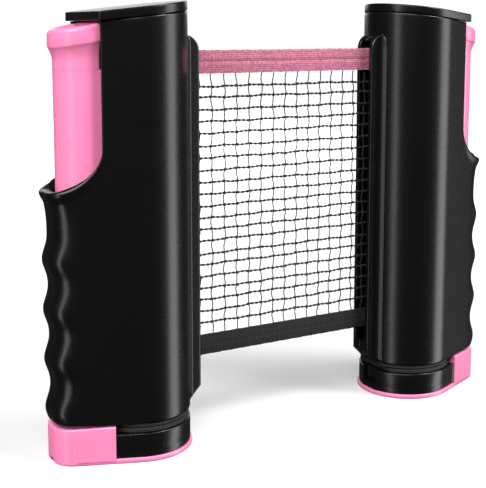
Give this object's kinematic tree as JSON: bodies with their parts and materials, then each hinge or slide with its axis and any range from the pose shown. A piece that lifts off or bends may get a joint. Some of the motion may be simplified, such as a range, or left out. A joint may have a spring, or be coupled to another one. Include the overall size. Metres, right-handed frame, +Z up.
{
  "type": "retractable table tennis net with clamp posts",
  "caption": "Retractable table tennis net pulled out between two spring clamp posts, with squeeze grips, thumb rests and padded jaws.",
  "frame": {"origin": "on the surface the posts stand on, midway between the two posts and in the plane of the net", "axes": "+Z up, +X along the net from the left post to the right post, +Y away from the front shells"},
  "size_m": [0.2268, 0.0456, 0.1877],
  "materials": {
    "black_abs": "satin moulded black",
    "pink_abs": "smooth moulded pink",
    "rubber_pad": "matt soft rubber",
    "steel": "zinc plated",
    "white_nylon": "moulded nylon",
    "net_thread": "knotted black thread",
    "tape_pink": "woven dusty pink tape",
    "tape_black": "woven black tape"
  },
  "bodies": {
    "left_housing": {"left_front_shell": "black_abs", "left_rear_shell": "black_abs", "left_top_lid": "black_abs", "left_shell_screw_1": "steel", "left_shell_screw_2": "steel", "left_shell_screw_3": "steel", "left_upper_jaw_pad": "rubber_pad", "left_reel_spindle": "steel", "left_spindle_plate": "white_nylon", "left_spring_guide": "steel", "left_clamp_spring": "steel", "net_top_tape": "tape_pink", "net_mesh": "net_thread", "net_bottom_tape": "tape_black"},
    "left_reel": {"left_reel_core": "white_nylon", "left_lower_bush": "white_nylon", "left_upper_bush": "white_nylon", "left_lower_flange": "white_nylon", "left_upper_flange": "white_nylon", "left_wound_net": "net_thread", "left_reel_spring": "steel"},
    "left_clamp": {"left_clamp_slider": "pink_abs", "left_lower_jaw": "pink_abs", "left_jaw_block": "black_abs", "left_lower_jaw_pad": "rubber_pad", "left_slider_screw_1": "steel", "left_slider_screw_2": "steel", "left_block_screw_1": "steel", "left_block_screw_2": "steel"},
    "right_housing": {"right_front_shell": "black_abs", "right_rear_shell": "black_abs", "right_top_lid": "black_abs", "right_shell_screw_1": "steel", "right_shell_screw_2": "steel", "right_shell_screw_3": "steel", "right_upper_jaw_pad": "rubber_pad", "right_reel_spindle": "steel", "right_spindle_plate": "white_nylon", "right_spring_guide": "steel", "right_clamp_spring": "steel"},
    "right_reel": {"right_reel_core": "white_nylon", "right_lower_bush": "white_nylon", "right_upper_bush": "white_nylon", "right_lower_flange": "white_nylon", "right_upper_flange": "white_nylon", "right_wound_net": "net_thread", "right_reel_spring": "steel"},
    "right_clamp": {"right_clamp_slider": "pink_abs", "right_lower_jaw": "pink_abs", "right_jaw_block": "black_abs", "right_lower_jaw_pad": "rubber_pad", "right_slider_screw_1": "steel", "right_slider_screw_2": "steel", "right_block_screw_1": "steel", "right_block_screw_2": "steel"}
  },
  "joints": [
    {"name": "net_pull", "type": "slide", "parent": "left_housing", "child": "right_housing", "axis": [1, 0, 0], "range_m": [-0.09, 1.6], "deforming": ["net_top_tape", "net_mesh", "net_bottom_tape"]},
    {"name": "left_clamp", "type": "slide", "parent": "left_housing", "child": "left_clamp", "axis": [0, 0, -1], "range_m": [0, 0.034], "stiffness_N_per_m": 500, "springref_m": -0.02, "deforming": ["left_clamp_spring"]},
    {"name": "right_clamp", "type": "slide", "parent": "right_housing", "child": "right_clamp", "axis": [0, 0, -1], "range_m": [0, 0.034], "stiffness_N_per_m": 500, "springref_m": -0.02, "deforming": ["right_clamp_spring"]},
    {"name": "left_reel_turn", "type": "hinge", "parent": "left_housing", "child": "left_reel", "pos_m": [-0.0728, 0, 0.1], "axis": [0, 0, 1], "range_deg": [-300, 4600]},
    {"name": "right_reel_turn", "type": "hinge", "parent": "right_housing", "child": "right_reel", "pos_m": [0.0728, 0, 0.1], "axis": [0, 0, 1], "range_deg": [-300, 4600]}
  ],
  "couplings": [
    {"joint": "left_reel_turn", "follows": "net_pull", "rad_per_m": 48.781},
    {"joint": "right_reel_turn", "follows": "net_pull", "rad_per_m": 48.781}
  ]
}
